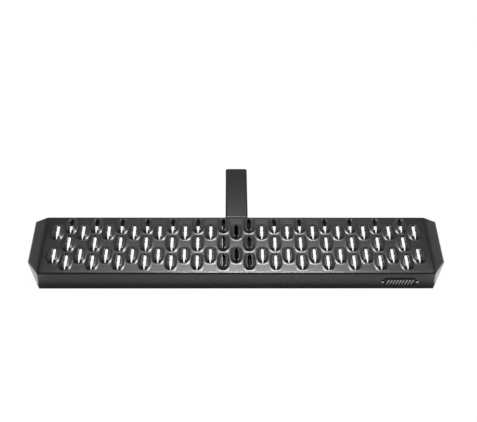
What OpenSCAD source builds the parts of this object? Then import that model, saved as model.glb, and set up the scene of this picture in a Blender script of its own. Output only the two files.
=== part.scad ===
// Hitch receiver step: a punched and folded steel tread on a square shank.
// The origin is the middle of the hitch pin hole. +X runs along the tread to the right,
// +Y runs forward along the shank into the receiver, and +Z is up.

/* [Tread] */
// Width of the tread over its two end flanges
tread_w = 917.6; // [760:0.1:1100]
// Depth of the tread from its front face to its rear flange
tread_d = 181; // [179:0.1:230]
// Thickness of the tread's steel sheet
sheet_t = 3; // [2:0.1:4]
// Outside radius of the long folds
fold_r = 4.5; // [4.5:0.1:5.5]
// Height of the front face
front_h = 47; // [40:0.5:50]
// Height of the rear flange
rear_h = 28; // [20:0.5:36]
// How far each end flange slopes outwards
end_run = 28.8; // [15:0.1:45]
// How far each end flange slopes down
end_drop = 14.8; // [5:0.1:20]
// Height of the outer edge of each end flange
end_edge = 5; // [4:0.5:12]
// How far back each cut front corner reaches
corner_back = 51; // [25:0.5:80]

/* [Slots] */
// Distance between slots in one row
slot_pitch = 57.15; // [52:0.05:70]
// Distance from the rear flange's face to the middle row
middle_row = 89.6; // [89.2:0.1:91.8]
// Distance from the middle row to the outer rows
outer_row = 57.15; // [54:0.05:57.5]
// Distance from the middle row to the rows of the other columns
inner_row = 37; // [30:0.05:44]
// Width of a raised boss at its foot
boss_w = 27; // [20:0.1:27.4]
// Length of a raised boss at its foot
boss_l = 55; // [52:0.1:55.6]
// Height of the slot's lips above the tread's top
boss_h = 5.5; // [4:0.1:7.5]
// Widest part of the slot, between the roots of its teeth
slot_w = 9.5; // [7:0.1:11]
// Length of the slot from tip to tip
slot_l = 47; // [44:0.5:48]
// Number of teeth along one lip
teeth = 5; // [3:1:8]
// Height of the teeth in the middle of a lip
tooth_h = 1.3; // [0.5:0.1:1.8]
// Length of the toothed part of each lip
tooth_run = 31; // [24:0.5:32]
// How far the middle of the teeth lies in front of the slot's middle
tooth_shift = 5; // [0:0.1:5.5]
// Least flat left between the outermost bosses and the end folds
side_margin = 10; // [6:0.5:20]

/* [Shank] */
// Outside size of the square shank
shank_s = 50.8; // [40:0.1:63.5]
// Wall of the shank
shank_wall = 4.76; // [3:0.01:4.8]
// Outside corner radius of the shank
shank_r = 5; // [4.9:0.1:9]
// Length of the shank behind the tread
shank_l = 170; // [140:0.5:260]
// Distance from the shank's free end to the middle of the pin hole
pin_back = 50.8; // [35:0.1:65]
// Diameter of the pin hole, for a 5/8 inch pin
pin_d = 16.3; // [12:0.1:17]
// How far the shank sits to the right of the tread's middle
shank_shift = 1.2; // [0:0.1:3]

/* [Channel] */
// Thickness of the channel's plate
channel_t = 6.35; // [3:0.01:6.4]
// Outside radius of the channel's two bends
channel_r = 7; // [6.5:0.1:8]
// Side clearance between the shank and each channel wall
channel_gap = 0.25; // [0.1:0.05:0.6]
// Clearance between the tread's inner fold and the tops of the channel's walls
channel_clear = 0.2; // [0.1:0.1:2]
// How far the channel reaches past the rear flange
heel_l = 28; // [16:0.5:30]
// Height of the slanted cut at the channel's front
nose_h = 13.2; // [11:0.1:16]

/* [Welds] */
// Radius of the ripples of the bead across the shank's top
bead_r = 3.4; // [2.5:0.1:4]
// Distance between the ripples of that bead
bead_step = 3.8; // [3:0.1:5]
// How far that bead's middle lies below the tread's top
bead_sink = 1.6; // [1:0.1:2]
// How far that bead's middle lies in front of the rear flange
bead_in = 0.5; // [0:0.1:1.5]
// How deep that bead fills the groove beside the rear fold
bead_depth = 3.4; // [2.5:0.1:4]
// How far that bead reaches over the shank's rounded corners
bead_over = 2; // [0:0.1:3]
// Leg of the fillet welds beside the shank
side_leg = 5.5; // [3:0.1:6]
// Leg of the fillet welds on the channel
channel_leg = 4.5; // [3:0.1:6]
// Bare length left at each end of the channel's welds
weld_end = 2; // [1:0.1:4]
// Space between neighbouring welds
weld_gap = 0.5; // [0.2:0.1:1]

/* [Badge] */
// Width of the badge's body
badge_w = 70; // [50:0.5:90]
// Height of the badge's body
badge_h = 21; // [14:0.5:26]
// How far each pointed ear of the badge stands out
badge_ear = 7; // [6:0.5:12]
// Height of an ear where it leaves the badge's body
ear_h = 10; // [8:0.5:12]
// How far the corners of the badge's body are cut
badge_cut = 4; // [2:0.5:6]
// Thickness of the badge
badge_t = 1.6; // [1:0.1:3]
// Distance from the badge's middle to the right end of the front face
badge_end = 75; // [58:1:200]
// Distance from the tread's top to the badge's middle
badge_z = 25; // [20:0.5:30]
// Number of raised bars on the badge
bar_count = 9; // [5:1:12]
// Bare strip at each side of the bars
bar_edge = 5; // [4.5:0.5:10]
// Width of a bar
bar_w = 3.4; // [2:0.1:4.5]
// Length of a bar
bar_l = 13.6; // [8:0.2:16]
// Height of the bars above the badge
bar_h = 0.8; // [0.4:0.1:1.5]
// Slant of the bars
bar_slant = 20; // [0:1:25]
// Distance from the point of an ear to its rivet
rivet_in = 4.5; // [4:0.1:5]
// Diameter of the rivets' bodies
rivet_d = 3.2; // [2.4:0.1:4]
// Diameter of the rivets' domed heads
rivet_head_d = 6.4; // [5:0.1:8]
// Height of the rivets' domed heads
rivet_head_h = 1.6; // [1:0.1:2.4]
// Diameter of the rivets' swollen blind ends
rivet_tail_d = 4.8; // [4.2:0.1:6]
// Length of the rivets' swollen blind ends
rivet_tail_l = 4; // [3:0.1:6]

/* [Hidden] */
$fn = 96;
// Size of the blocks that cut the tread's ends.
far = 1200;
// How far a cut runs past the surface that it cuts.
past = 1;
// How deep two shapes of one solid sink into each other.
overlap = 0.2;
top_z = shank_s / 2;
rear_y = -(shank_l - pin_back);
flat_w = tread_w - 2 * end_run;
end_slope = atan(end_drop / end_run);
corner_turn = atan(corner_back / end_run);
skirt_h = front_h + 20;
// How far in front of the corner the outer edge of an end flange is already level.
edge_lead = 0.6;

// A boss is where two cones cross, and its hollow is where two smaller ones do.
boss_r = (pow(boss_l / 2, 2) + pow(boss_w / 2, 2)) / boss_w;
boss_off = boss_r - boss_w / 2;
boss_fall = (boss_w - slot_w) / 2 / boss_h;
boss_wall = sheet_t * sqrt(1 + boss_fall * boss_fall);
// The cones end inside the slot, where the teeth leave room.
tooth_room = 0.4;
boss_top = (boss_w / 2 - slot_w / 2 + tooth_h) / boss_fall + tooth_room;
hollow_top = boss_top - boss_wall / boss_fall;
// How blunt the ends of a slot are: 2 gives a parabola, and more is blunter.
slot_curve = 2.3;

// Columns that fit on each side of the middle, with and without one on the middle line.
column_room = (flat_w / 2 - boss_w / 2 - side_margin) / slot_pitch;
long_side = floor(column_room);
short_side = floor(column_room + 0.5);
slot_places = concat(
    [for (c = [-long_side:long_side]) for (s = [-1, 1])
        [c * slot_pitch, s * inner_row - middle_row]],
    [for (c = [-short_side:short_side - 1]) for (s = [-1:1])
        [(c + 0.5) * slot_pitch, s * outer_row - middle_row]]
);

channel_in = shank_s + 2 * channel_gap;
channel_w = channel_in + 2 * channel_t;
channel_top = fold_r + channel_clear;
channel_base = shank_s + channel_t;
front_in = -(tread_d - sheet_t);
bead_count = floor((shank_s - 2 * shank_r + 2 * bead_over) / bead_step);
badge_x = flat_w / 2 - badge_end;
ear_x = badge_w / 2 + badge_ear;
rivet_x = ear_x - rivet_in;
bar_pitch = (badge_w - 2 * bar_edge) / bar_count;

// Places a piece drawn from the tread's rear top edge, on the tread's own middle.
module at_tread() {
    translate([-shank_shift, rear_y, top_z])
        children();
}

// Places a piece drawn from the same edge, on the shank's middle.
module at_shank() {
    translate([0, rear_y, top_z])
        children();
}

// Turns a drawing of depth and height into a bar that runs along the width.
module along_width(length) {
    translate([-length / 2, 0, 0])
        rotate([90, 0, 90])
            linear_extrude(length)
                children();
}

// The tread's section from front to rear, drawn in by the given inset.
module side_section(inset) {
    r = fold_r - inset;
    w = tread_d - 2 * inset;
    translate([-tread_d + inset, -skirt_h])
        square([w, skirt_h - inset - r]);
    translate([-tread_d + inset + r, -skirt_h])
        square([w - 2 * r, skirt_h - inset]);
    for (y = [-tread_d + inset + r, -inset - r])
        translate([y, -inset - r])
            circle(r);
}

// Everything outside the sloped flange and the cut front corner at the right end.
module end_cut(inset) {
    translate([flat_w / 2, 0, 0])
        rotate([0, end_slope, 0])
            translate([-far / 4, -far / 2, -inset])
                cube([far / 2, far, far / 4]);
    translate([flat_w / 2, -tread_d, 0])
        rotate([0, 0, corner_turn])
            translate([-far / 4, -far / 4 + inset, -far / 4])
                cube([far / 2, far / 4, far / 2]);
}

// The tread as a filled block, drawn in by the given inset.
module tread_block(inset) {
    difference() {
        along_width(tread_w - 2 * inset)
            side_section(inset);
        end_cut(inset);
        mirror([1, 0, 0])
            end_cut(inset);
    }
}

// What lies below the lower edge of the folded walls. That edge is level in front, rises along the
// cut corners to the outer edge of the end flanges, and is level again along the rear flange.
module skirt_cut() {
    edge_z = -(end_drop + end_edge);
    along_width(tread_w + 2 * past)
        polygon([
            [-tread_d - past, -front_h],
            [-tread_d + sheet_t, -front_h],
            [-(tread_d - corner_back) - edge_lead, edge_z],
            [-sheet_t, edge_z],
            [-sheet_t, -rear_h],
            [past, -rear_h],
            [past, -skirt_h - past],
            [-tread_d - past, -skirt_h - past]
        ]);
}

// Where the two cones of a boss cross, between two heights.
module cone_cross(shrink, low, high) {
    intersection_for (side = [-1, 1])
        translate([side * boss_off, 0, low])
            cylinder(
                h = high - low,
                r1 = boss_r - shrink - boss_fall * low,
                r2 = boss_r - shrink - boss_fall * high
            );
}

// Half the slot's width without its teeth: a lens that narrows to both tips.
function slot_half(y) = slot_w / 2 * (1 - pow(abs(y) / (slot_l / 2), slot_curve));
function tooth_y(i) = tooth_run * (i / (2 * teeth) - 0.5) - tooth_shift;
function tooth_x(i) = slot_half(tooth_y(i)) * (i % 2 == 1 ? 1 - tooth_h / (slot_w / 2) : 1);
// A point on the plain stretch between the last tooth and a tip.
function plain_point(tooth, tip) =
    let (y = (tooth_y(tooth) + tip) / 2)
    [slot_half(y), y];

// The toothed lens that is punched through a boss.
module slot_outline() {
    lip = concat(
        [plain_point(0, -slot_l / 2)],
        [for (i = [0:2 * teeth]) [tooth_x(i), tooth_y(i)]],
        [plain_point(2 * teeth, slot_l / 2)]
    );
    polygon(concat(
        [[0, -slot_l / 2]],
        lip,
        [[0, slot_l / 2]],
        [for (i = [len(lip) - 1:-1:0]) [-lip[i][0], lip[i][1]]]
    ));
}

module at_slots() {
    for (place = slot_places)
        translate([place[0], place[1], 0])
            children();
}

module tread_plate() {
    color([0.17, 0.17, 0.18])
        at_tread()
            difference() {
                union() {
                    difference() {
                        tread_block(0);
                        tread_block(sheet_t);
                        skirt_cut();
                    }
                    at_slots()
                        cone_cross(0, -overlap, boss_top);
                }
                at_slots()
                    cone_cross(boss_wall, -sheet_t - past, hollow_top);
                at_slots()
                    translate([0, 0, -sheet_t - past])
                        linear_extrude(sheet_t + boss_top + 2 * past)
                            slot_outline();
                for (side = [-1, 1])
                    translate([badge_x + side * rivet_x, -tread_d - past, -badge_z])
                        rotate([-90, 0, 0])
                            cylinder(h = sheet_t + 2 * past, d = rivet_d);
            }
}

// A square with rounded corners, as a tube's section has.
module round_square(size, r) {
    square([size, size - 2 * r], center = true);
    square([size - 2 * r, size], center = true);
    for (x = [-1, 1])
        for (y = [-1, 1])
            translate([x * (size / 2 - r), y * (size / 2 - r)])
                circle(r);
}

module hitch_shank() {
    color([0.2, 0.2, 0.21])
        difference() {
            translate([0, pin_back, 0])
                rotate([90, 0, 0])
                    linear_extrude(shank_l)
                        difference() {
                            round_square(shank_s, shank_r);
                            round_square(shank_s - 2 * shank_wall, shank_r - shank_wall);
                        }
            rotate([0, 90, 0])
                cylinder(h = shank_s + 2 * past, d = pin_d, center = true);
        }
}

// The upper part of a U section: straight walls on two round bends, open at the top.
module u_section(width, r, base) {
    translate([-width / 2, -base + r])
        square([width, base - r + past]);
    translate([-width / 2 + r, -base])
        square([width - 2 * r, base]);
    for (x = [-1, 1])
        translate([x * (width / 2 - r), -base + r])
            circle(r);
}

// The channel's outline seen from the side, with the front at the left.
module channel_side() {
    polygon([
        [front_in, -channel_top],
        [-sheet_t, -channel_top],
        [-sheet_t, -rear_h],
        [heel_l, -rear_h],
        [heel_l, -channel_base],
        [front_in + nose_h, -channel_base],
        [front_in, -channel_base + nose_h]
    ]);
}

module support_channel() {
    color([0.16, 0.16, 0.17])
        at_shank()
            intersection() {
                along_width(channel_w + 2 * past)
                    channel_side();
                translate([0, heel_l + past, 0])
                    rotate([90, 0, 0])
                        linear_extrude(tread_d + heel_l + 2 * past)
                            difference() {
                                u_section(channel_w, channel_r, channel_base);
                                u_section(channel_in, channel_r - channel_t, shank_s);
                            }
            }
}

// The badge's outline: a plain body with a pointed ear at each side.
module badge_outline() {
    top_x = badge_w / 2 - badge_cut;
    polygon([
        [-ear_x, 0],
        [-badge_w / 2, ear_h / 2],
        [-top_x, badge_h / 2],
        [top_x, badge_h / 2],
        [badge_w / 2, ear_h / 2],
        [ear_x, 0],
        [badge_w / 2, -ear_h / 2],
        [top_x, -badge_h / 2],
        [-top_x, -badge_h / 2],
        [-badge_w / 2, -ear_h / 2]
    ]);
}

// One raised bar, leaning to the right.
module badge_bar() {
    lean = bar_l / 2 * tan(bar_slant);
    polygon([
        [-lean - bar_w / 2, -bar_l / 2],
        [-lean + bar_w / 2, -bar_l / 2],
        [lean + bar_w / 2, bar_l / 2],
        [lean - bar_w / 2, bar_l / 2]
    ]);
}

module badge_plate() {
    color([0.3, 0.3, 0.3])
        at_tread()
            translate([badge_x, -tread_d, -badge_z])
                rotate([90, 0, 0])
                    difference() {
                        union() {
                            linear_extrude(badge_t)
                                badge_outline();
                            for (i = [0:bar_count - 1])
                                translate([(i - (bar_count - 1) / 2) * bar_pitch, 0, badge_t - overlap])
                                    linear_extrude(bar_h + overlap)
                                        badge_bar();
                        }
                        for (side = [-1, 1])
                            translate([side * rivet_x, 0, -past])
                                cylinder(h = badge_t + 2 * past, d = rivet_d);
                    }
}

// One blind rivet, with its body along Z and its seat at z = 0.
module rivet() {
    dome_r = (pow(rivet_head_d / 2, 2) + pow(rivet_head_h, 2)) / (2 * rivet_head_h);
    grip = badge_t + sheet_t;
    intersection() {
        translate([0, 0, rivet_head_h - dome_r])
            sphere(dome_r);
        cylinder(h = rivet_head_h + past, d = rivet_head_d);
    }
    translate([0, 0, -grip - overlap])
        cylinder(h = grip + 2 * overlap, d = rivet_d);
    translate([0, 0, -grip - rivet_tail_l])
        cylinder(h = rivet_tail_l, d = rivet_tail_d);
}

module badge_rivets() {
    color([0.85, 0.83, 0.76])
        at_tread()
            for (side = [-1, 1])
                translate([badge_x + side * rivet_x, -tread_d - badge_t, -badge_z])
                    rotate([90, 0, 0])
                        rivet();
}

// The bead across the shank's top fills the groove beside the rear fold.
module shank_top_weld() {
    color([0.3, 0.3, 0.31])
        difference() {
            at_shank()
                for (i = [0:bead_count])
                    translate([(i - bead_count / 2) * bead_step, -bead_in, -bead_sink])
                        sphere(bead_r);
            at_tread()
                tread_block(0);
            hitch_block();
            at_shank()
                translate([-shank_s / 2, -fold_r, -bead_depth - fold_r])
                    cube([shank_s, 2 * fold_r, fold_r]);
        }
}

// The shank's outside as a filled block.
module hitch_block() {
    translate([0, pin_back, 0])
        rotate([90, 0, 0])
            linear_extrude(shank_l)
                round_square(shank_s, shank_r);
}

// A quarter-round fillet weld, drawn along Z in the corner of +X and +Y.
module fillet(leg, length) {
    intersection() {
        cylinder(h = length, r = leg);
        cube([leg + past, leg + past, length]);
    }
}

module shank_side_weld(side) {
    drop = shank_r + weld_gap;
    color([0.2, 0.2, 0.21])
        at_shank()
            mirror([side < 0 ? 1 : 0, 0, 0])
                translate([shank_s / 2, 0, -rear_h])
                    fillet(side_leg, rear_h - drop);
}

module channel_front_weld(side) {
    run = min(front_h, channel_base - nose_h) - channel_top - 2 * weld_end;
    color([0.18, 0.18, 0.19])
        at_shank()
            mirror([side < 0 ? 1 : 0, 0, 0])
                translate([channel_w / 2, front_in, -channel_top - weld_end - run])
                    fillet(channel_leg, run);
}

module channel_rear_weld(side) {
    run = rear_h - channel_top - 2 * weld_end;
    color([0.18, 0.18, 0.19])
        at_shank()
            mirror([side < 0 ? 1 : 0, 0, 0])
                translate([channel_w / 2, -sheet_t, -channel_top - weld_end])
                    rotate([180, 0, 0])
                        fillet(channel_leg, run);
}

module channel_heel_weld(side) {
    start = side_leg + weld_gap;
    color([0.18, 0.18, 0.19])
        at_shank()
            mirror([side < 0 ? 1 : 0, 0, 0])
                translate([shank_s / 2, heel_l - weld_end, -rear_h])
                    rotate([90, 0, 0])
                        fillet(channel_leg, heel_l - weld_end - start);
}

tread_plate();
hitch_shank();
support_channel();
badge_plate();
badge_rivets();
shank_top_weld();
shank_side_weld(-1);  // shank_side_weld_left
shank_side_weld(1);  // shank_side_weld_right
channel_front_weld(-1);  // channel_front_weld_left
channel_front_weld(1);  // channel_front_weld_right
channel_rear_weld(-1);  // channel_rear_weld_left
channel_rear_weld(1);  // channel_rear_weld_right
channel_heel_weld(-1);  // channel_heel_weld_left
channel_heel_weld(1);  // channel_heel_weld_right
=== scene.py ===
import math

import bmesh
import bpy
import numpy as np
from mathutils import Matrix, Vector


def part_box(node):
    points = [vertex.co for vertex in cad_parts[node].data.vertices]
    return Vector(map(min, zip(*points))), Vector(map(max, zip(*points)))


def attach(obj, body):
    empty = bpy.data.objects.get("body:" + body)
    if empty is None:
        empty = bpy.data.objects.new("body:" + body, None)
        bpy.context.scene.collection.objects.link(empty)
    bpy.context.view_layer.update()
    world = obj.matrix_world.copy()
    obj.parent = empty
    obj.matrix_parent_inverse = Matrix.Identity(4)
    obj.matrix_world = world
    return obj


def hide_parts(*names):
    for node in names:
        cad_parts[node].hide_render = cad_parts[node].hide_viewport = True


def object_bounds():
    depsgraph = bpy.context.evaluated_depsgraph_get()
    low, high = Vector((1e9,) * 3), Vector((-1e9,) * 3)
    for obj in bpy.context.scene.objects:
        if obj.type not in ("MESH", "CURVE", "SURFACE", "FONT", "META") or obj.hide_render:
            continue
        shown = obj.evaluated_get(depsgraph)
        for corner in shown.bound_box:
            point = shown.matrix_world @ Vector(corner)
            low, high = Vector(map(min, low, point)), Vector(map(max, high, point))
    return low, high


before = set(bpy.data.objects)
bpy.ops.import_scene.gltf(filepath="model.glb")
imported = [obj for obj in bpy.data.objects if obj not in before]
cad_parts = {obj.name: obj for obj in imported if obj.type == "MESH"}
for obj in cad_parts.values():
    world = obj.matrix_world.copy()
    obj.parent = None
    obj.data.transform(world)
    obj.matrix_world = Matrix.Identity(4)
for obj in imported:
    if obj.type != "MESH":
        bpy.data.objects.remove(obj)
cadLow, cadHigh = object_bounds()
treadLow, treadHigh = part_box("tread_plate")
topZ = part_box("hitch_shank")[1].z        # the shank's top is level with the flat of the tread
millimetre = 0.001
print("stage: frame loaded")


# The camera, as fitted to the photograph.
camera = {
    "imageWidth": 477,        # the photograph's size in pixels
    "imageHeight": 422,
    "pixelX": 236.7,          # where the middle of the tread's top shows in it
    "pixelY": 244.35,
    "elevation": 42.3,        # degrees above the floor
    "turn": -0.83,            # degrees round the object
    "roll": 0.58,             # degrees of tilt of the picture
    "distance": 2.2502,       # metres from the lens to the middle of the tread's top
    "lens": 76.5,             # focal length for a 36 mm sensor
}


def makeCamera():
    data = bpy.data.cameras.new("photoCamera")
    data.sensor_width = 36.0
    data.lens = camera["lens"]
    data.clip_end = 100.0
    turn = math.radians(camera["turn"])
    tilt = math.radians(camera["elevation"])
    roll = math.radians(camera["roll"])
    target = Vector(((treadLow.x + treadHigh.x) / 2, (treadLow.y + treadHigh.y) / 2, topZ))
    ahead = Vector((-math.sin(turn), math.cos(turn), 0.0))
    right = Vector((math.cos(turn), math.sin(turn), 0.0))
    forward = math.cos(tilt) * ahead - math.sin(tilt) * Vector((0, 0, 1))
    up = math.sin(tilt) * ahead + math.cos(tilt) * Vector((0, 0, 1))
    # metres at the target for one pixel of the photograph
    perPixel = camera["distance"] * data.sensor_width / data.lens / camera["imageWidth"]
    across = (camera["pixelX"] - camera["imageWidth"] / 2) * perPixel
    down = (camera["pixelY"] - camera["imageHeight"] / 2) * perPixel
    place = target - forward * camera["distance"] - right * across + up * down
    cameraRight = math.cos(roll) * right + math.sin(roll) * up
    cameraUp = math.cos(roll) * up - math.sin(roll) * right
    matrix = Matrix((cameraRight, cameraUp, -forward)).transposed().to_4x4()
    matrix.translation = place
    item = bpy.data.objects.new("photoCamera", data)
    bpy.context.scene.collection.objects.link(item)
    item.matrix_world = matrix
    bpy.context.scene.camera = item


# The studio: a pale floor, a pale surround and soft lamps.
studio = {
    "floorColour": 0.8,
    "floorGlow": 0.96,        # how much of the floor's white the camera sees whatever falls on it
    "floorLight": 1.03,       # brightness of that white
    "horizon": 0.6,           # brightness of the surround at eye level
    "overhead": 0.12,         # and straight above
    "dimFrom": 0.15,          # height at which it starts to darken, as a sine
    "dimTo": 0.6,             # and at which it has
    "floorHalf": 30.0,        # metres from the floor's middle to its edge
    "ambient": 0.3,           # what the surround gives to matt surfaces
    "lamps": [
        # name, place, aimed at, width, depth, watts
        ("softboxTop", (0.07, 0.17, 0.80), (0.0, -0.30, 0.025), 0.5, 0.2, 6.5),
        ("softboxWide", (0.05, 0.22, 0.82), (0.0, -0.30, 0.025), 1.2, 0.3, 2.4),
        ("cardLeft", (-0.60, -0.24, -0.019), (-0.60, -0.24, 1.0), 0.32, 0.4, 0.5),
        ("cardRight", (0.60, -0.24, -0.019), (0.60, -0.24, 1.0), 0.32, 0.4, 0.5),
    ],
}


def addNode(tree, kind, **values):
    node = tree.nodes.new(kind)
    for key, value in values.items():
        setattr(node, key, value)
    return node


# The surround as the camera and reflections see it darkens upwards, and matt surfaces get an even light.
def makeSurround():
    world = bpy.data.worlds.new("studioSurround")
    bpy.context.scene.world = world
    world.use_nodes = True
    tree = world.node_tree
    tree.nodes.clear()
    out = addNode(tree, "ShaderNodeOutputWorld")
    light = addNode(tree, "ShaderNodeLightPath")
    coord = addNode(tree, "ShaderNodeTexCoord")
    split = addNode(tree, "ShaderNodeSeparateXYZ")
    height = addNode(tree, "ShaderNodeMapRange", interpolation_type="SMOOTHSTEP")
    seen = addNode(tree, "ShaderNodeBackground")
    plain = addNode(tree, "ShaderNodeBackground")
    mix = addNode(tree, "ShaderNodeMixShader")
    either = addNode(tree, "ShaderNodeMath", operation="MAXIMUM")
    every = addNode(tree, "ShaderNodeMath", operation="MAXIMUM")
    height.inputs["From Min"].default_value = studio["dimFrom"]
    height.inputs["From Max"].default_value = studio["dimTo"]
    height.inputs["To Min"].default_value = studio["horizon"]
    height.inputs["To Max"].default_value = studio["overhead"]
    plain.inputs["Strength"].default_value = studio["ambient"]
    tree.links.new(coord.outputs["Generated"], split.inputs[0])
    tree.links.new(split.outputs["Z"], height.inputs["Value"])
    tree.links.new(height.outputs["Result"], seen.inputs["Strength"])
    tree.links.new(light.outputs["Is Camera Ray"], either.inputs[0])
    tree.links.new(light.outputs["Is Glossy Ray"], either.inputs[1])
    tree.links.new(either.outputs[0], every.inputs[0])
    tree.links.new(light.outputs["Is Transmission Ray"], every.inputs[1])
    tree.links.new(every.outputs[0], mix.inputs["Fac"])
    tree.links.new(plain.outputs[0], mix.inputs[1])
    tree.links.new(seen.outputs[0], mix.inputs[2])
    tree.links.new(mix.outputs[0], out.inputs["Surface"])


# The floor is white to the camera but for a small matt share, which keeps the object's shadow.
def makeFloor():
    material = bpy.data.materials.new("paleFloor")
    material.use_nodes = True
    tree = material.node_tree
    tree.nodes.clear()
    out = addNode(tree, "ShaderNodeOutputMaterial")
    light = addNode(tree, "ShaderNodeLightPath")
    matt = addNode(tree, "ShaderNodeBsdfDiffuse")
    glow = addNode(tree, "ShaderNodeEmission")
    share = addNode(tree, "ShaderNodeMath", operation="MULTIPLY")
    mix = addNode(tree, "ShaderNodeMixShader")
    matt.inputs["Color"].default_value = (studio["floorColour"],) * 3 + (1.0,)
    glow.inputs["Strength"].default_value = studio["floorLight"]
    share.inputs[1].default_value = studio["floorGlow"]
    tree.links.new(light.outputs["Is Camera Ray"], share.inputs[0])
    tree.links.new(share.outputs[0], mix.inputs["Fac"])
    tree.links.new(matt.outputs[0], mix.inputs[1])
    tree.links.new(glow.outputs[0], mix.inputs[2])
    tree.links.new(mix.outputs[0], out.inputs["Surface"])
    half = studio["floorHalf"]
    x, y = np.meshgrid([-half, half], [-half, half])
    corners = np.stack([x, y, np.full((2, 2), cadLow.z)], axis=-1).reshape(-1, 3)
    floor = meshObject("studioFloor", corners, np.array([[0, 1, 3, 2]]))
    floor.data.materials.append(material)


def makeLamps():
    for name, place, aim, width, depth, watts in studio["lamps"]:
        data = bpy.data.lights.new(name, "AREA")
        data.shape = "RECTANGLE"
        data.size = width
        data.size_y = depth
        data.energy = watts
        lamp = bpy.data.objects.new(name, data)
        bpy.context.scene.collection.objects.link(lamp)
        lamp.location = place
        lamp.rotation_mode = "QUATERNION"
        lamp.rotation_quaternion = (Vector(aim) - Vector(place)).to_track_quat("-Z", "Y")
        lamp.visible_camera = False


def meshObject(name, points, faces):
    mesh = bpy.data.meshes.new(name)
    mesh.from_pydata(points.tolist(), [], [list(face) for face in faces])
    mesh.update()
    item = bpy.data.objects.new(name, mesh)
    bpy.context.scene.collection.objects.link(item)
    return item


# A closed shell: its faces are turned outwards, and its edges are smooth up to an angle in degrees.
def shellObject(name, points, faces, sharpAngle):
    item = meshObject(name, points, faces)
    work = bmesh.new()
    work.from_mesh(item.data)
    bmesh.ops.recalc_face_normals(work, faces=work.faces)
    work.to_mesh(item.data)
    work.free()
    item.data.shade_smooth()
    item.data.set_sharp_from_angle(angle=math.radians(sharpAngle))
    return item


# Quads of a grid of points. Rows run down the first axis, and a closed grid joins its last column to its first.
def gridFaces(rows, columns, closed=False, flip=False):
    index = np.arange(rows * columns).reshape(rows, columns)
    after = np.roll(index, -1, axis=1)
    if not closed:
        index, after = index[:, :-1], after[:, :-1]
    quads = np.stack([index[:-1], after[:-1], after[1:], index[1:]], axis=-1).reshape(-1, 4)
    return quads[:, ::-1] if flip else quads


# Joins grids into one mesh. Points that fall in the same cell of a fine lattice, in millimetres, are made one.
class Surfaces:
    def __init__(self):
        self.points, self.faces, self.count = [], [], 0

    def add(self, grid, closed=False, flip=False):
        rows, columns = grid.shape[:2]
        self.points.append(grid.reshape(-1, 3))
        self.faces.append(gridFaces(rows, columns, closed, flip) + self.count)
        self.count += rows * columns

    def merged(self, step=0.002):
        points = np.concatenate(self.points)
        faces = np.concatenate(self.faces)
        keys = np.round(points / step).astype(np.int64)
        _, first, inverse = np.unique(keys, axis=0, return_index=True, return_inverse=True)
        return points[first], inverse.reshape(-1)[faces]


# The tread, in millimetres: x from its middle, y from the rear flange's face, z from the flat of its top.
tread = {
    "sheet": 3.0,
    "foldRadius": 4.5,
    "rearHeight": 28.0,
    "endRun": 28.8,
    "endDrop": 14.8,
    "endEdge": 5.0,           # height of the end flanges' outer edge
    "endBend": 1.2,           # softness of the bends at the two ends
    "cornerBack": 51.0,
    "edgeFlat": 0.5,          # height of the folds at the ends, as a share of the others
    "edgeDropRun": 1.0,       # over which the lower edge drops to the rear flange's
    "slotPitch": 57.15,
    "middleRow": 89.6,        # from the rear flange's face to the middle row of slots
    "outerRow": 57.15,
    "innerRow": 37.0,
    "longSide": 7,            # columns with two slots on each side of the middle
    "shortSide": 7,           # and with three
    "bossWidth": 27.5,        # of the raised bosses that carry the slots, at their foot
    "bossLength": 50.0,
    "bossBack": 1.0,          # how far a boss's middle lies behind its slot's
    "bossCorner": 2.4,        # 2 is an oval, and more is squarer
    "bossSlope": 0.78,        # rise of its flanks for each millimetre inwards
    "foot": 0.7,              # softness of its foot
    "crestReach": 7.0,        # from the foot to the crest
    "crest": 0.6,             # softness of the crest
    "lipTurn": 0.6,           # fall of the lips behind the crest, as a share of the flanks' slope
    "foldKeep": 2.5,          # width of the strip beside the folds where the bosses fade out
    "slotWidth": 9.5,
    "slotLength": 47.0,
    "slotCurve": 2.3,         # bluntness of its ends
    "teeth": 5,
    "toothHeight": 1.7,
    "toothRun": 31.0,
    "toothShift": 5.0,        # how far the teeth's middle lies in front of the slot's middle
    "lipBevel": 0.45,
    "edgeBevel": 0.4,         # of the walls' lower edges
    "sharpAngle": 40.0,       # degrees at an edge that stays sharp
}
sideSteps = 24                # mesh steps along a slot's cell
endSteps = 10                 # and across it
farSteps = 9                  # mesh steps between a slot's far tip and its first tooth
nearSteps = 5                 # and between its last tooth and its near tip
toothSteps = 4                # mesh steps on each tooth
flankSteps = 8                # mesh steps across each end flange
gapSteps = 4                  # mesh steps from the middle row to the first slot of a column with two
outTurns = 7                  # mesh rings round the outside of the folds
inTurns = 4                   # and round their inside
slopeStep = 0.3               # millimetres over which a slope is measured
topRings = [0.03, 0.1, 0.17, 0.25, 0.44, 0.68, 0.84, 0.9, 0.945, 0.98, 1.0]
lowRings = [0.0, 0.4, 0.85, 1.0]

treadWidth = (treadHigh.x - treadLow.x) / millimetre
treadDepth = (treadHigh.y - treadLow.y) / millimetre
frontHeight = (topZ - treadLow.z) / millimetre
flatHalf = treadWidth / 2 - tread["endRun"]
rowY = -tread["middleRow"]
columnStep = tread["slotPitch"] / 2
evenColumns = [2 * k for k in range(-tread["longSide"], tread["longSide"] + 1)]
oddColumns = [2 * k + 1 for k in range(-tread["shortSide"], tread["shortSide"])]
slotPlaces = [(k * columnStep, rowY + s * tread["innerRow"]) for k in evenColumns for s in (-1, 1)]
slotPlaces += [(k * columnStep, rowY + s * tread["outerRow"]) for k in oddColumns for s in (-1, 0, 1)]


# A ramp with a soft start: width times the log of one plus e to the power x over width.
def softRamp(x, width):
    return width * np.logaddexp(0.0, x / width)


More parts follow.
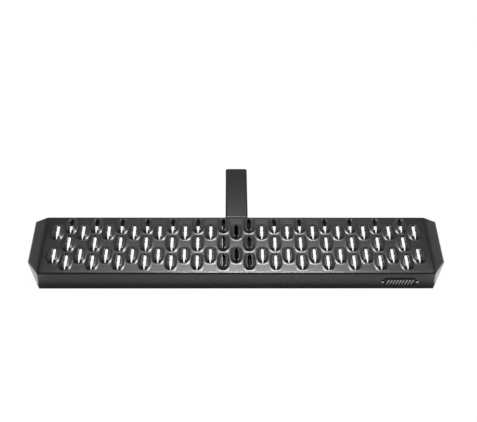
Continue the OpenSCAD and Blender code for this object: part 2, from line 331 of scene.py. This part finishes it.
# Height of the tread's top: zero on the flat, a soft bend down to each end flange, and at each slot a soft
# ramp of the distance inside the boss's oval outline, less a second ramp that turns the lips down. That
# distance is one minus the oval's value over its gradient. Beside the folds the bosses fade out.
def topHeight(x, y):
    fall = tread["endDrop"] / tread["endRun"]
    z = -fall * softRamp(np.abs(x) - flatHalf, tread["endBend"])
    radius = tread["foldRadius"]
    room = np.clip(np.minimum(-radius - y, y + treadDepth - radius) / tread["foldKeep"], 0, 1)
    keep = room * room * (3 - 2 * room)
    corner = tread["bossCorner"]
    halfWidth, halfLength = tread["bossWidth"] / 2, tread["bossLength"] / 2
    for slotX, slotY in slotPlaces:
        near = (np.abs(x - slotX) < tread["bossWidth"]) & (np.abs(y - slotY) < tread["bossLength"])
        across = np.abs(x[near] - slotX) / halfWidth
        along = np.abs(y[near] - slotY - tread["bossBack"]) / halfLength
        oval = (across ** corner + along ** corner) ** (1 / corner)
        oval = np.maximum(oval, 0.05)    # kept off zero in the middle
        growthX = (across / oval) ** (corner - 1) / halfWidth
        growthY = (along / oval) ** (corner - 1) / halfLength
        inside = (1 - oval) / np.hypot(growthX, growthY)
        lip = (1 + tread["lipTurn"]) * softRamp(inside - tread["crestReach"], tread["crest"])
        z[near] += tread["bossSlope"] * (softRamp(inside, tread["foot"]) - lip) * keep[near]
    return z


# The sheet's thickness measured straight down: its true thickness times the length of a unit of slope.
def dropThrough(x, y):
    h = slopeStep
    slopeX = (topHeight(x + h, y) - topHeight(x - h, y)) / (2 * h)
    slopeY = (topHeight(x, y + h) - topHeight(x, y - h)) / (2 * h)
    return tread["sheet"] * np.sqrt(1 + slopeX ** 2 + slopeY ** 2)


def topGrid(x, y):
    return np.stack([x, y, topHeight(x, y)], axis=-1)


def lowGrid(x, y):
    return np.stack([x, y, topHeight(x, y) - dropThrough(x, y)], axis=-1)


# One lip of a slot, from its far tip to its near one: half its width times one minus a power of the
# distance from its middle, with teeth that rise and fall in straight lines.
def slotSide(toothed):
    half = tread["slotLength"] / 2
    far = tread["toothRun"] / 2 - tread["toothShift"]
    near = far - tread["toothRun"]
    steps = tread["teeth"] * toothSteps
    v = np.concatenate([
        np.linspace(half, far, farSteps + 1)[:-1],
        np.linspace(far, near, steps + 1),
        np.linspace(near, -half, nearSteps + 1)[1:],
    ])
    u = tread["slotWidth"] / 2 * (1 - np.abs(v / half) ** tread["slotCurve"])
    if toothed:
        wave = np.zeros(len(v))
        phase = np.arange(steps + 1) / toothSteps % 1
        wave[farSteps:farSteps + steps + 1] = 1 - np.abs(2 * phase - 1)
        u = u - wave * u * tread["toothHeight"] / (tread["slotWidth"] / 2)
    return u, v


def slotLoop(toothed):
    u, v = slotSide(toothed)
    return np.concatenate([u, -u[-2:0:-1]]), np.concatenate([v, v[-2:0:-1]])


# The edge of a slot's cell, from the middle of its far side clockwise.
def cellLoop(slotX, lines):
    half = columnStep / 2
    across = np.linspace(-half, half, endSteps + 1) + slotX
    middle = endSteps // 2
    x = np.concatenate([across[middle:-1], np.full(len(lines), slotX + half), across[-2:0:-1],
                        np.full(len(lines), slotX - half), across[1:middle]])
    y = np.concatenate([np.full(middle, lines[-1]), lines[::-1], np.full(endSteps - 1, lines[0]),
                        lines, np.full(middle - 1, lines[-1])])
    return x, y


# Rings from the slot's edge to the cell's edge: each spoke is a straight blend of the two, and the
# teeth have faded out at the second ring.
def slotCell(surfaces, slotX, slotY, lines):
    cellX, cellY = cellLoop(slotX, lines)
    plainU, plainV = slotLoop(False)
    toothU, toothV = slotLoop(True)

    def spokes(rings):
        t = np.array(rings)[:, None]
        fade = np.clip(1 - t / topRings[1], 0, 1)
        x = (slotX + plainU) * (1 - t) + cellX * t + (toothU - plainU) * fade
        y = (slotY + plainV) * (1 - t) + cellY * t
        return x, y

    top = topGrid(*spokes(topRings))
    low = lowGrid(*spokes(lowRings))
    edge = topGrid(*spokes([0.0]))
    edge[..., 2] -= tread["lipBevel"]
    surfaces.add(top, closed=True)
    surfaces.add(low, closed=True, flip=True)
    surfaces.add(np.concatenate([low[:1], edge, top[:1]]), closed=True)


def plainCell(surfaces, xLines, lines):
    x, y = np.meshgrid(xLines, lines)
    surfaces.add(topGrid(x, y))
    surfaces.add(lowGrid(x, y), flip=True)


# Outline of the flat part of the top, in from the folds by their radius: the end and the cut corner.
def endOutline(rows):
    radius = tread["foldRadius"]
    facet = np.array([tread["endRun"], tread["cornerBack"]])
    normal = np.array([facet[1], -facet[0]]) / np.hypot(*facet)
    reach = normal @ np.array([flatHalf, -treadDepth]) - radius
    endX = treadWidth / 2 - radius
    frontY = -treadDepth + radius
    kinkY = (normal[0] * endX - reach) / -normal[1]
    frontX = (reach - normal[1] * frontY) / normal[0]
    straight = int(round((rows - 1) * (-radius - kinkY) / (-radius - frontY)))
    upper = np.linspace((endX, -radius), (endX, kinkY), straight + 1)
    lower = np.linspace((endX, kinkY), (frontX, frontY), rows - straight)
    return np.concatenate([upper, lower[1:]]), straight, normal


# Height of the lower edge of the walls: level in front, rising in a straight line along the cut corners
# to the end flanges' outer edge, level along it, and down to the rear flange's edge at the last step.
def lowerEdge(y):
    kink = -(treadDepth - tread["cornerBack"])
    edge = -(tread["endDrop"] + tread["endEdge"])
    radius = tread["foldRadius"]
    return np.interp(y, [-treadDepth + radius, kink, -radius - tread["edgeDropRun"], -radius],
                     [-frontHeight, edge, edge, -tread["rearHeight"]])


def makeTread():
    surfaces = Surfaces()
    half = sideSteps // 2
    radius = tread["foldRadius"]
    cellHalf = tread["outerRow"] / 2
    limits = (-treadDepth + radius, rowY - cellHalf, rowY + cellHalf, -radius)
    parts = [np.linspace(a, b, sideSteps + 1)[:-1] for a, b in zip(limits, limits[1:])]
    lines = np.concatenate(parts + [limits[3:]])
    centre = half + sideSteps

    for k in oddColumns:
        for s in (-1, 0, 1):
            start = centre - half + s * sideSteps
            slotCell(surfaces, k * columnStep, rowY + s * tread["outerRow"], lines[start:start + sideSteps + 1])
    for k in evenColumns:
        xLines = k * columnStep + np.linspace(-columnStep / 2, columnStep / 2, endSteps + 1)
        far, near = centre + gapSteps, centre - gapSteps - sideSteps
        slotCell(surfaces, k * columnStep, rowY + tread["innerRow"], lines[far:far + sideSteps + 1])
        slotCell(surfaces, k * columnStep, rowY - tread["innerRow"], lines[near:near + sideSteps + 1])
        plainCell(surfaces, xLines, lines[:near + 1])
        plainCell(surfaces, xLines, lines[centre - gapSteps:centre + gapSteps + 1])
        plainCell(surfaces, xLines, lines[far + sideSteps:])

    # the end flanges, from the last column out to the end outline
    outline, straight, facetNormal = endOutline(len(lines))
    outline = outline[::-1]   # from front to rear, as the lines run
    edgeX = (2 * tread["longSide"] + 0.5) * columnStep
    t = np.linspace(0, 1, flankSteps + 1)
    x = edgeX * (1 - t) + outline[:, :1] * t
    y = lines[:, None] * (1 - t) + outline[:, 1:] * t
    for side in (1, -1):
        surfaces.add(topGrid(side * x, y), flip=side < 0)
        surfaces.add(lowGrid(side * x, y), flip=side > 0)

    # the loop round the flat part, counter-clockwise from the rear right corner
    across = np.linspace(-edgeX, edgeX, endSteps * (4 * tread["longSide"] + 1) + 1)
    rearX = np.concatenate([x[-1][::-1], across[::-1][1:-1], -x[-1]])
    frontX = np.concatenate([-x[0][::-1], across[1:-1], x[0]])
    plan = np.concatenate([
        np.stack([rearX, np.full(len(rearX), lines[-1])], axis=-1)[:-1],
        (outline[::-1] * (-1, 1))[:-1],
        np.stack([frontX, np.full(len(frontX), lines[0])], axis=-1)[:-1],
        outline[:-1],
    ])
    rows = len(outline)
    facetRows = rows - 1 - straight
    sides = [
        ((0.0, 1.0), len(rearX) - 1),
        ((-1.0, 0.0), straight),
        ((-facetNormal[0], facetNormal[1]), facetRows),
        ((0.0, -1.0), len(frontX) - 1),
        (tuple(facetNormal), facetRows),
        ((1.0, 0.0), straight),
    ]
    normal = np.concatenate([np.tile(n, (count, 1)) for n, count in sides])
    before = np.roll(normal, 1, axis=0)
    mitre = (normal + before) / (1 + (normal * before).sum(axis=1, keepdims=True))

    # the folded walls: a quarter turn out and down, the wall, its lower edge, and back up inside
    through = dropThrough(plan[:, 0], plan[:, 1])
    sideways = np.maximum(np.abs(normal[:, 0]), np.abs(before[:, 0]))
    atEnd = sideways > 0.1    # not along the front or the rear
    flat = np.where(atEnd, tread["edgeFlat"], 1.0)
    bevel = tread["edgeBevel"]
    profile = []

    def ring(out, drop, thick, level=None):
        spot = plan + mitre * out
        z = topHeight(spot[:, 0], spot[:, 1]) - drop * flat - thick * through
        if level is not None:
            z = lowerEdge(spot[:, 1]) + level
        profile.append(np.column_stack([spot, z]))

    inner = radius - tread["sheet"]
    for angle in np.linspace(0, math.pi / 2, outTurns):
        ring(radius * math.sin(angle), radius * (1 - math.cos(angle)), 0)
    ring(radius, 0, 0, level=bevel)
    ring(radius - bevel, 0, 0, level=0)
    ring(inner + bevel, 0, 0, level=0)
    ring(inner, 0, 0, level=bevel)
    for angle in np.linspace(math.pi / 2, 0, inTurns):
        ring(inner * math.sin(angle), inner * (1 - math.cos(angle)), 1)
    surfaces.add(np.array(profile), closed=True)

    points, faces = surfaces.merged()
    points = points * millimetre + ((treadLow.x + treadHigh.x) / 2, treadHigh.y, topZ)
    plate = shellObject("treadPlate", points, faces, tread["sharpAngle"])
    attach(plate, "root")
    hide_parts("tread_plate")
    print("stage: tread made,", len(faces), "quads")
    return plate


# The pieces that keep the frame's own shape, with their edges rounded.
softening = {
    "mergeReach": 1e-6,       # metres
    "flatAngle": 0.5,         # degrees between faces that become one
    "sharpAngle": 30.0,       # degrees at an edge that is rounded
    "segments": 3,
}


def makeSoftened(node, name, width):
    work = bmesh.new()
    work.from_mesh(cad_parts[node].data)
    bmesh.ops.remove_doubles(work, verts=work.verts, dist=softening["mergeReach"])
    flat = math.radians(softening["flatAngle"])
    limit = math.radians(softening["sharpAngle"])
    bmesh.ops.dissolve_limit(work, angle_limit=flat, verts=work.verts, edges=work.edges)
    sharp = [edge for edge in work.edges if len(edge.link_faces) == 2 and edge.calc_face_angle() > limit]
    bmesh.ops.bevel(work, geom=sharp, offset=width * millimetre, offset_type="OFFSET", affect="EDGES",
                    profile=0.5, segments=softening["segments"], clamp_overlap=True)
    mesh = bpy.data.meshes.new(name)
    work.to_mesh(mesh)
    work.free()
    mesh.shade_smooth()
    mesh.set_sharp_from_angle(angle=limit)
    item = bpy.data.objects.new(name, mesh)
    bpy.context.scene.collection.objects.link(item)
    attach(item, "root")
    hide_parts(node)
    return item


# The weld beads.
weld = {
    "ripple": 3.0,            # millimetres between ripples
    "rise": 0.13,             # height of a ripple, as a share of the leg
    "bow": 0.45,              # how far a ripple bows along the run, in ripples
    "drift": 0.07,            # slow change of a bead's size
    "rippleSteps": 8,
    "arcSteps": 12,
    "leastCap": 0.04,         # size of a bead's blunt end, as a share of its leg
    "valley": 0.6,            # sharpness of the valleys between ripples
    "driftTurn": 1.3,         # how fast that slow change turns, in radians for each ripple
    "sharpAngle": 50.0,       # degrees at an edge that stays sharp
}


# A bead's size over its run and round its section: one less a ripple, whose saw-tooth has round tops and
# sharp valleys, times a slow sine, times a quarter circle at both ends.
def beadSize(runInRipples, phase, endReach, shift):
    valley = 1 - np.sin(np.pi * (phase % 1)) ** weld["valley"]
    slow = 1 - weld["drift"] * (0.5 + 0.5 * np.sin(weld["driftTurn"] * runInRipples + shift))
    cap = np.sqrt(1 - (1 - np.clip(endReach, weld["leastCap"], 1)) ** 2)
    return (1 - weld["rise"] * valley) * slow * cap


# A bead's shell: closed rings with a flat cap at each end.
def beadObject(name, rings):
    rows, columns = rings.shape[:2]
    faces = gridFaces(rows, columns, closed=True).tolist()
    faces += [list(range(columns)), list(range((rows - 1) * columns, rows * columns))]
    item = shellObject(name, rings.reshape(-1, 3), faces, weld["sharpAngle"])
    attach(item, "root")
    return item


# A fillet weld in the corner of two walls. Each ring is the corner and a quarter circle about it.
# The run is an axis, and away says to which side of its corner the bead lies on the two others. The
# length of its name shifts the slow change of its size, so that no two sides look alike.
def makeFillet(node, name, run, away):
    low, high = (np.array(corner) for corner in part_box(node))
    first, second = [axis for axis in range(3) if axis != run]
    leg = high[first] - low[first]
    length = high[run] - low[run]
    ripples = length / (weld["ripple"] * millimetre)
    share = np.linspace(0, 1, int(ripples * weld["rippleSteps"]) + 1)[:, None]
    angle = np.linspace(0, np.pi / 2, weld["arcSteps"] + 1)[None, :]
    phase = share * ripples + weld["bow"] * np.sin(2 * angle)
    endReach = np.minimum(share, 1 - share) * length / leg
    radius = leg * beadSize(share * ripples, phase, endReach, len(name))
    rings = np.zeros((len(share), angle.shape[1] + 1, 3))
    rings[..., run] = low[run] + share * length
    for axis, side, turn in ((first, away[0], np.cos(angle)), (second, away[1], np.sin(angle))):
        rings[..., axis] = low[axis] if side > 0 else high[axis]
        rings[:, 1:, axis] += side * radius * turn
    item = beadObject(name, rings)
    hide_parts(node)
    return item


# The bead across the shank's top: rings about a line along X, flattened below.
acrossBead = {
    "radius": 3.4,            # millimetres
    "sink": 1.6,              # its middle below the tread's top
    "inset": 0.5,             # and in front of the rear flange
    "ripple": 3.8,
    "under": 0.85,            # height of its lower half, as a share of its radius
    "sectionSteps": 32,       # mesh steps round it
    "shift": 2.0,             # where its slow change of size starts, in radians
}


def makeAcrossBead():
    low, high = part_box("shank_top_weld")
    radius = acrossBead["radius"] * millimetre
    length = high.x - low.x
    ripples = length / (acrossBead["ripple"] * millimetre)
    share = np.linspace(0, 1, int(ripples * weld["rippleSteps"]) + 1)[:, None]
    angle = np.linspace(0, 2 * np.pi, acrossBead["sectionSteps"] + 1)[None, :-1]
    phase = share * ripples + weld["bow"] * np.cos(angle)
    size = radius * beadSize(share * ripples, phase, np.minimum(share, 1 - share) * length / radius,
                             acrossBead["shift"])
    rings = np.zeros((len(share), angle.shape[1], 3))
    rings[..., 0] = low.x + share * length
    rings[..., 1] = treadHigh.y - acrossBead["inset"] * millimetre + size * np.cos(angle)
    drop = np.where(np.sin(angle) < 0, acrossBead["under"], 1.0)
    rings[..., 2] = topZ - acrossBead["sink"] * millimetre + size * np.sin(angle) * drop
    item = beadObject("shankTopWeld", rings)
    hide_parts("shank_top_weld")
    return item


bpy.context.scene.view_settings.view_transform = "Standard"
makeCamera()
makeSurround()
makeFloor()
makeLamps()
print("stage: camera and studio made")
treadPlate = makeTread()
hitchShank = makeSoftened("hitch_shank", "hitchShank", 0.5)
supportChannel = makeSoftened("support_channel", "supportChannel", 0.4)
badgePlate = makeSoftened("badge_plate", "badgePlate", 0.25)
badgeRivets = makeSoftened("badge_rivets", "badgeRivets", 0.2)
welds = [makeAcrossBead()]
for side, sign in (("left", -1), ("right", 1)):
    title = side.capitalize()
    welds += [
        makeFillet("shank_side_weld_" + side, "shankSideWeld" + title, 2, (sign, 1)),
        makeFillet("channel_front_weld_" + side, "channelFrontWeld" + title, 2, (sign, 1)),
        makeFillet("channel_rear_weld_" + side, "channelRearWeld" + title, 2, (sign, -1)),
        makeFillet("channel_heel_weld_" + side, "channelHeelWeld" + title, 1, (sign, 1)),
    ]
print("stage: shank, channel, badge and", len(welds), "welds made")


# A node group with its sockets, and its input and output nodes.
def newGroup(name, inputs, outputs):
    group = bpy.data.node_groups.new(name, "ShaderNodeTree")
    for sockets, direction in ((inputs, "INPUT"), (outputs, "OUTPUT")):
        for title, kind in sockets:
            group.interface.new_socket(name=title, in_out=direction, socket_type="NodeSocket" + kind)
    return group, addNode(group, "NodeGroupInput"), addNode(group, "NodeGroupOutput")


surfaceOutputs = [("Colour", "Color"), ("Roughness", "Float"), ("Normal", "Vector")]
coatPattern = {
    "grainDetail": 3.0,
    "grainShare": 0.6,        # of the fine grain in the colour's mix
    "driftShare": 0.4,        # and of the slow drift
    "driftScale": 18.0,
    "driftDetail": 4.0,
    "bumpDepth": 0.0002,      # metres
}


# The black powder coat. Colour and roughness drift slowly, and a fine grain gives the orange-peel bump.
def makeCoatGroup():
    group, source, result = newGroup("powderCoat", [
        ("Deep", "Color"), ("Pale", "Color"), ("Smooth", "Float"), ("Rough", "Float"), ("Grain", "Float"),
        ("Bump", "Float")], surfaceOutputs)
    coord = addNode(group, "ShaderNodeTexCoord")
    grain = addNode(group, "ShaderNodeTexNoise")
    drift = addNode(group, "ShaderNodeTexNoise")
    fine = addNode(group, "ShaderNodeMath", operation="MULTIPLY_ADD")
    slow = addNode(group, "ShaderNodeMath", operation="MULTIPLY")
    colour = addNode(group, "ShaderNodeMix", data_type="RGBA")
    rough = addNode(group, "ShaderNodeMix")
    bump = addNode(group, "ShaderNodeBump")
    grain.inputs["Detail"].default_value = coatPattern["grainDetail"]
    drift.inputs["Scale"].default_value = coatPattern["driftScale"]
    drift.inputs["Detail"].default_value = coatPattern["driftDetail"]
    fine.inputs[1].default_value = coatPattern["grainShare"]
    slow.inputs[1].default_value = coatPattern["driftShare"]
    bump.inputs["Distance"].default_value = coatPattern["bumpDepth"]
    links = group.links
    links.new(coord.outputs["Object"], grain.inputs["Vector"])
    links.new(coord.outputs["Object"], drift.inputs["Vector"])
    links.new(source.outputs["Grain"], grain.inputs["Scale"])
    links.new(drift.outputs["Fac"], slow.inputs[0])
    links.new(grain.outputs["Fac"], fine.inputs[0])
    links.new(slow.outputs[0], fine.inputs[2])
    links.new(fine.outputs[0], colour.inputs["Factor"])
    links.new(source.outputs["Deep"], colour.inputs["A"])
    links.new(source.outputs["Pale"], colour.inputs["B"])
    links.new(drift.outputs["Fac"], rough.inputs["Factor"])
    links.new(source.outputs["Smooth"], rough.inputs["A"])
    links.new(source.outputs["Rough"], rough.inputs["B"])
    links.new(grain.outputs["Fac"], bump.inputs["Height"])
    links.new(source.outputs["Bump"], bump.inputs["Strength"])
    links.new(colour.outputs["Result"], result.inputs["Colour"])
    links.new(rough.outputs["Result"], result.inputs["Roughness"])
    links.new(bump.outputs["Normal"], result.inputs["Normal"])
    return group


coatGroup = makeCoatGroup()
finishes = {
    "treadCoat": dict(deep=0.006, pale=0.012, smooth=0.26, rough=0.32, grain=1800.0, bump=0.2, ior=1.8),
    "shankCoat": dict(deep=0.006, pale=0.018, smooth=0.48, rough=0.62, grain=900.0, bump=0.6, ior=1.35),
    # The channel has the same black powder coat as the tread, but its colour is painted darker: painted shade
    # for the inside of the channel, which lies in shadow under the tread.
    "channelCoatWithPaintedShade": dict(deep=0.002, pale=0.004, smooth=0.60, rough=0.70, grain=1800.0, bump=0.25, ior=1.25),
    "weldCoat": dict(deep=0.015, pale=0.035, smooth=0.26, rough=0.36, grain=1500.0, bump=0.3, ior=1.8),
    "badgeCoat": dict(deep=0.003, pale=0.008, smooth=0.30, rough=0.40, grain=1800.0, bump=0.2, ior=1.5),
}


def coatMaterial(name):
    values = finishes[name]
    material = bpy.data.materials.new(name)
    material.use_nodes = True
    tree = material.node_tree
    shader = tree.nodes["Principled BSDF"]
    coat = tree.nodes.new("ShaderNodeGroup")
    coat.node_tree = coatGroup
    coat.inputs["Deep"].default_value = (values["deep"], values["deep"], values["deep"] * 1.04, 1)
    coat.inputs["Pale"].default_value = (values["pale"], values["pale"], values["pale"] * 1.04, 1)
    coat.inputs["Smooth"].default_value = values["smooth"]
    coat.inputs["Rough"].default_value = values["rough"]
    coat.inputs["Grain"].default_value = values["grain"]
    coat.inputs["Bump"].default_value = values["bump"]
    shader.inputs["IOR"].default_value = values["ior"]
    tree.links.new(coat.outputs["Colour"], shader.inputs["Base Color"])
    tree.links.new(coat.outputs["Roughness"], shader.inputs["Roughness"])
    tree.links.new(coat.outputs["Normal"], shader.inputs["Normal"])
    return material


metalPattern = {
    "stretch": 0.08,          # frequency of the scratches along X, against the other ways
    "scratchScale": 4000.0,
    "cloudScale": 350.0,
    "bumpDepth": 0.0001,      # metres
    "bumpStrength": 0.3,
}


# Bare metal: a cloudy tone and fine scratches that run along X.
def makeMetalGroup():
    group, source, result = newGroup("bareMetal", [
        ("Deep", "Color"), ("Pale", "Color"), ("Smooth", "Float"), ("Rough", "Float")], surfaceOutputs)
    coord = addNode(group, "ShaderNodeTexCoord")
    stretch = addNode(group, "ShaderNodeMapping")
    scratch = addNode(group, "ShaderNodeTexNoise")
    cloud = addNode(group, "ShaderNodeTexNoise")
    colour = addNode(group, "ShaderNodeMix", data_type="RGBA")
    rough = addNode(group, "ShaderNodeMix")
    bump = addNode(group, "ShaderNodeBump")
    stretch.inputs["Scale"].default_value = (metalPattern["stretch"], 1.0, 1.0)
    scratch.inputs["Scale"].default_value = metalPattern["scratchScale"]
    cloud.inputs["Scale"].default_value = metalPattern["cloudScale"]
    bump.inputs["Distance"].default_value = metalPattern["bumpDepth"]
    bump.inputs["Strength"].default_value = metalPattern["bumpStrength"]
    links = group.links
    links.new(coord.outputs["Object"], stretch.inputs["Vector"])
    links.new(stretch.outputs["Vector"], scratch.inputs["Vector"])
    links.new(coord.outputs["Object"], cloud.inputs["Vector"])
    links.new(cloud.outputs["Fac"], colour.inputs["Factor"])
    links.new(source.outputs["Deep"], colour.inputs["A"])
    links.new(source.outputs["Pale"], colour.inputs["B"])
    links.new(scratch.outputs["Fac"], rough.inputs["Factor"])
    links.new(source.outputs["Smooth"], rough.inputs["A"])
    links.new(source.outputs["Rough"], rough.inputs["B"])
    links.new(scratch.outputs["Fac"], bump.inputs["Height"])
    links.new(colour.outputs["Result"], result.inputs["Colour"])
    links.new(rough.outputs["Result"], result.inputs["Roughness"])
    links.new(bump.outputs["Normal"], result.inputs["Normal"])
    return group


metalGroup = makeMetalGroup()
metals = {
    "barMetal": dict(deep=(0.42, 0.42, 0.43), pale=(0.62, 0.62, 0.63), smooth=0.25, rough=0.42),
    "rivetMetal": dict(deep=(0.74, 0.70, 0.60), pale=(0.88, 0.85, 0.76), smooth=0.30, rough=0.45),
}


def metalMaterial(name):
    values = metals[name]
    material = bpy.data.materials.new(name)
    material.use_nodes = True
    tree = material.node_tree
    shader = tree.nodes["Principled BSDF"]
    metal = tree.nodes.new("ShaderNodeGroup")
    metal.node_tree = metalGroup
    metal.inputs["Deep"].default_value = values["deep"] + (1,)
    metal.inputs["Pale"].default_value = values["pale"] + (1,)
    metal.inputs["Smooth"].default_value = values["smooth"]
    metal.inputs["Rough"].default_value = values["rough"]
    shader.inputs["Metallic"].default_value = 1.0
    tree.links.new(metal.outputs["Colour"], shader.inputs["Base Color"])
    tree.links.new(metal.outputs["Roughness"], shader.inputs["Roughness"])
    tree.links.new(metal.outputs["Normal"], shader.inputs["Normal"])
    return material


treadPlate.data.materials.append(coatMaterial("treadCoat"))
hitchShank.data.materials.append(coatMaterial("shankCoat"))
supportChannel.data.materials.append(coatMaterial("channelCoatWithPaintedShade"))
badgeRivets.data.materials.append(metalMaterial("rivetMetal"))
weldCoat = coatMaterial("weldCoat")
for bead in welds:
    bead.data.materials.append(weldCoat)

# The badge is black, and the fronts of its bars are bare metal.
badgePlate.data.materials.append(coatMaterial("badgeCoat"))
badgePlate.data.materials.append(metalMaterial("barMetal"))
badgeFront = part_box("badge_plate")[0].y
barDepth = 0.3 * millimetre
for face in badgePlate.data.polygons:
    face.material_index = int(face.center.y < badgeFront + barDepth)
print("stage: materials made")
